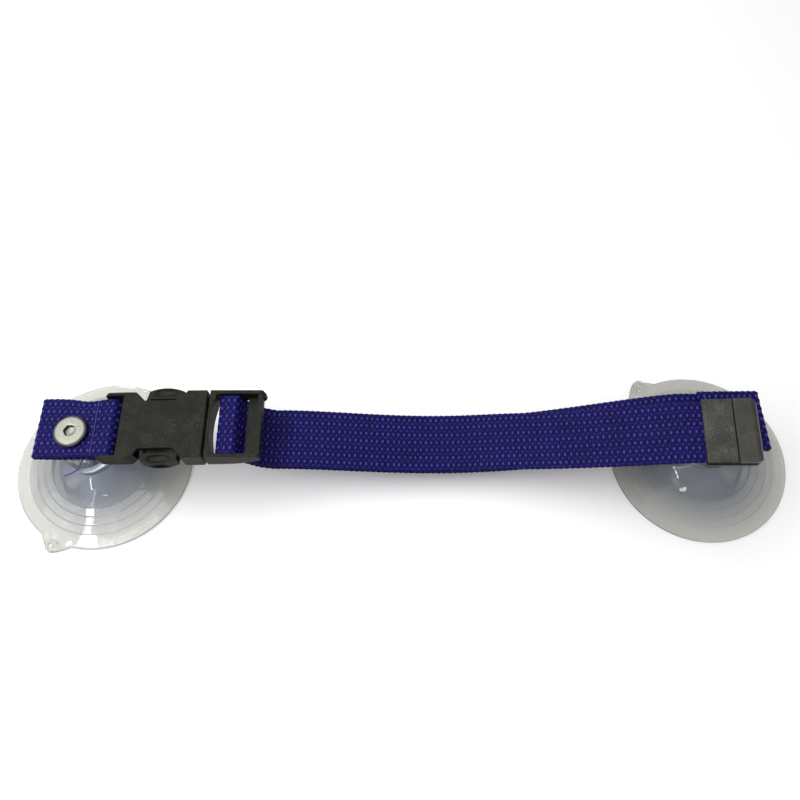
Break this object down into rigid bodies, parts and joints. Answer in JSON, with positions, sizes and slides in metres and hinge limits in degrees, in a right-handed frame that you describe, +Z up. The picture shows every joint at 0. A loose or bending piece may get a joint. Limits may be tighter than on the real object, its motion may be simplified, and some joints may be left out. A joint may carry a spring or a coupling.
{
  "type": "suction cup strap",
  "caption": "Adjustable webbing strap with a side-release buckle, a clipped tail and a clear suction cup screwed to each end.",
  "frame": {"origin": "on the surface that the cups stand on, midway between the two cups' axes", "axes": "+X along the strap from the buckle to the end clip, +Y across the strap away from the viewer, +Z up out of the surface"},
  "size_m": [0.3366, 0.081, 0.0458],
  "materials": {
    "clear_pvc": "clear moulded PVC, smooth and glossy",
    "zinc_steel": "zinc plated steel, lightly worn",
    "metal_insert": "pale turned metal insert",
    "blue_webbing": "woven polyester webbing, matte",
    "blue_thread": "twisted sewing thread",
    "buckle_plastic": "moulded acetal, finely textured",
    "clip_plastic": "moulded polypropylene, finely textured"
  },
  "bodies": {
    "left_tab": {"left_tab_webbing": "blue_webbing", "left_tab_stitching": "blue_thread", "left_loose_thread": "blue_thread"},
    "left_cup": {"left_suction_cup": "clear_pvc", "left_cup_insert": "metal_insert", "left_screw": "zinc_steel"},
    "buckle_socket": {"buckle_socket": "buckle_plastic"},
    "buckle_plug": {"buckle_plug": "buckle_plastic", "strap_bar_wrap": "blue_webbing"},
    "latch_near": {"latch_arm_near": "buckle_plastic"},
    "latch_far": {"latch_arm_far": "buckle_plastic"},
    "right_end": {"strap_main": "blue_webbing", "right_end_webbing": "blue_webbing", "right_end_stitching": "blue_thread"},
    "tail_end": {"strap_tail": "blue_webbing", "end_clip_base": "clip_plastic"},
    "clip_lid": {"end_clip_lid": "clip_plastic"},
    "right_cup": {"right_suction_cup": "clear_pvc", "right_cup_insert": "metal_insert", "right_screw": "zinc_steel"}
  },
  "joints": [
    {"name": "left_cup_swivel", "type": "hinge", "parent": "left_tab", "child": "left_cup", "pos_m": [-0.1302, 0, 0.033], "axis": [0, 0, 1], "continuous": true},
    {"name": "buckle_pivot", "type": "hinge", "parent": "left_tab", "child": "buckle_socket", "pos_m": [-0.116, 0.0024, 0.03355], "axis": [0, -1, 0], "range_deg": [0, 80]},
    {"name": "buckle_release", "type": "slide", "parent": "buckle_socket", "child": "buckle_plug", "axis": [1, 0, 0], "range_m": [0, 0.034], "deforming": ["latch_arm_near", "latch_arm_far"]},
    {"name": "latch_near_press", "type": "hinge", "parent": "buckle_plug", "child": "latch_near", "pos_m": [-0.0784, -0.0057, 0.0346], "axis": [0, 0, -1], "range_deg": [0, 15], "stiffness_Nm_per_rad": 0.05},
    {"name": "latch_far_press", "type": "hinge", "parent": "buckle_plug", "child": "latch_far", "pos_m": [-0.0784, 0.0105, 0.0346], "axis": [0, 0, 1], "range_deg": [0, 15], "stiffness_Nm_per_rad": 0.05},
    {"name": "strap_length", "type": "slide", "parent": "buckle_plug", "child": "right_end", "axis": [1, 0, 0], "range_m": [0, 0.1], "deforming": ["strap_main"]},
    {"name": "tail_slide", "type": "slide", "parent": "buckle_plug", "child": "tail_end", "axis": [0.995, 0, -0.0995], "range_m": [-0.1, 0], "deforming": ["strap_tail"]},
    {"name": "clip_lid_hinge", "type": "hinge", "parent": "tail_end", "child": "clip_lid", "pos_m": [0.12741, -0.00521, 0.04363], "axis": [0.0889, 0.996, 0], "range_deg": [0, 95]},
    {"name": "right_cup_swivel", "type": "hinge", "parent": "right_end", "child": "right_cup", "pos_m": [0.1302, 0, 0.033], "axis": [0, 0, 1], "continuous": true}
  ],
  "couplings": [
    {"joint": "tail_slide", "follows": "strap_length", "ratio": -1}
  ]
}
